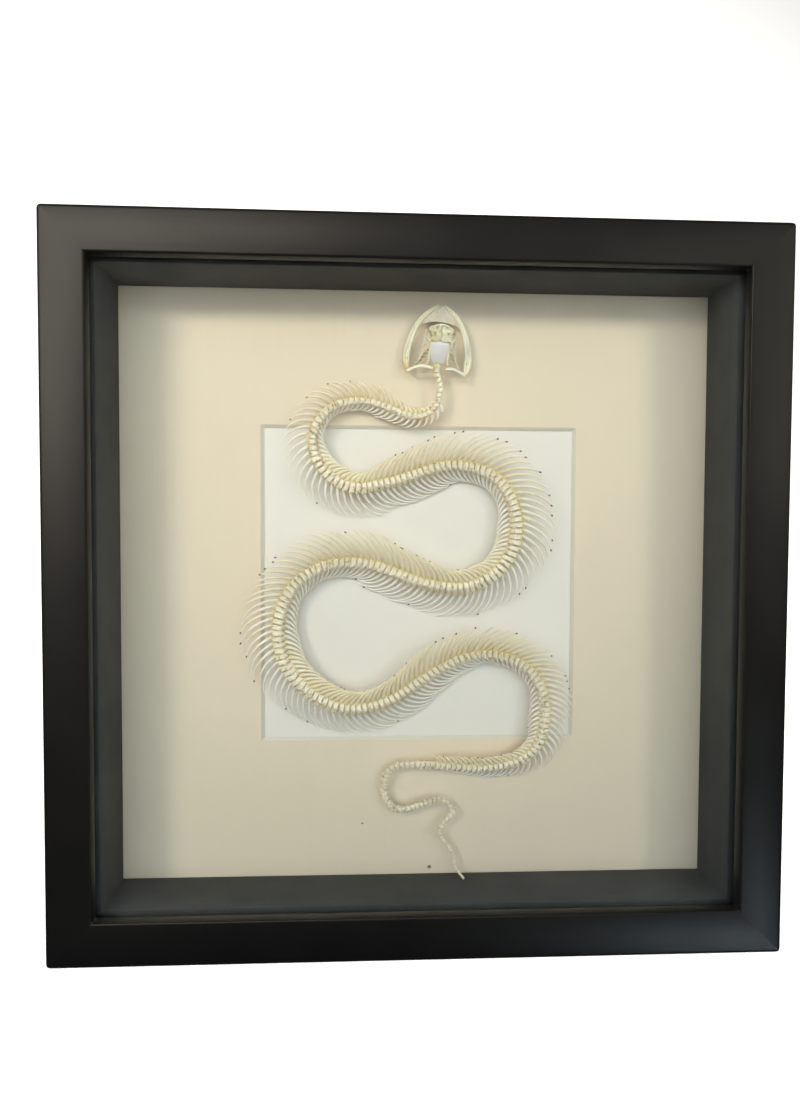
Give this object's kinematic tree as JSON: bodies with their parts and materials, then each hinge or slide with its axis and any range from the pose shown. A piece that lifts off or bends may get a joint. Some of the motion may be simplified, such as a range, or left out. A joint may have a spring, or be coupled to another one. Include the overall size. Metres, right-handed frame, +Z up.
{
  "type": "framed snake skeleton",
  "caption": "Snake skeleton set in bends on a cut cream mat, behind glass in a black wooden shadow box that stands or hangs.",
  "frame": {"origin": "middle of the lower face of the box, on the surface that it stands on", "axes": "+Z up the box, -Y out through the glass towards the viewer, +X to the viewer's right"},
  "size_m": [0.33, 0.054, 0.33],
  "materials": {
    "black_wood": "satin black paint, dusty",
    "glass": "clear, thin dust",
    "grey_paper": "matt dark paper",
    "cream_mat": "matt cream mat board",
    "white_board": "matt off-white board",
    "brown_board": "matt hardboard",
    "steel": "bright zinc",
    "bone": "dry bone, cream to ochre",
    "pale_bone": "thin pale bone"
  },
  "bodies": {
    "root": {"rail_bottom": "black_wood", "liner_bottom": "grey_paper", "tab_bottom": "steel", "rail_left": "black_wood", "liner_left": "grey_paper", "tab_left": "steel", "rail_top": "black_wood", "liner_top": "grey_paper", "tab_top": "steel", "rail_right": "black_wood", "liner_right": "grey_paper", "tab_right": "steel", "glass": "glass", "mat": "cream_mat", "window_board": "white_board", "backboard": "brown_board", "hanger": "steel", "cranium": "pale_bone", "snout": "bone", "chin": "pale_bone", "mandible_left": "bone", "mandible_right": "bone", "maxilla_left": "bone", "maxilla_right": "bone", "supratemporal_left": "bone", "supratemporal_right": "bone", "quadrate_left": "bone", "quadrate_right": "bone", "pterygoid_left": "bone", "pterygoid_right": "bone", "ectopterygoid_left": "bone", "ectopterygoid_right": "bone", "neck_left": "bone", "neck_right": "bone", "trunk_1_left": "bone", "trunk_1_right": "bone", "trunk_2_left": "bone", "trunk_2_right": "bone", "trunk_3_left": "bone", "trunk_3_right": "bone", "trunk_4_left": "bone", "trunk_4_right": "bone", "trunk_5_left": "bone", "trunk_5_right": "bone", "tail_base": "bone", "tail_tip": "bone"}
  },
  "joints": []
}
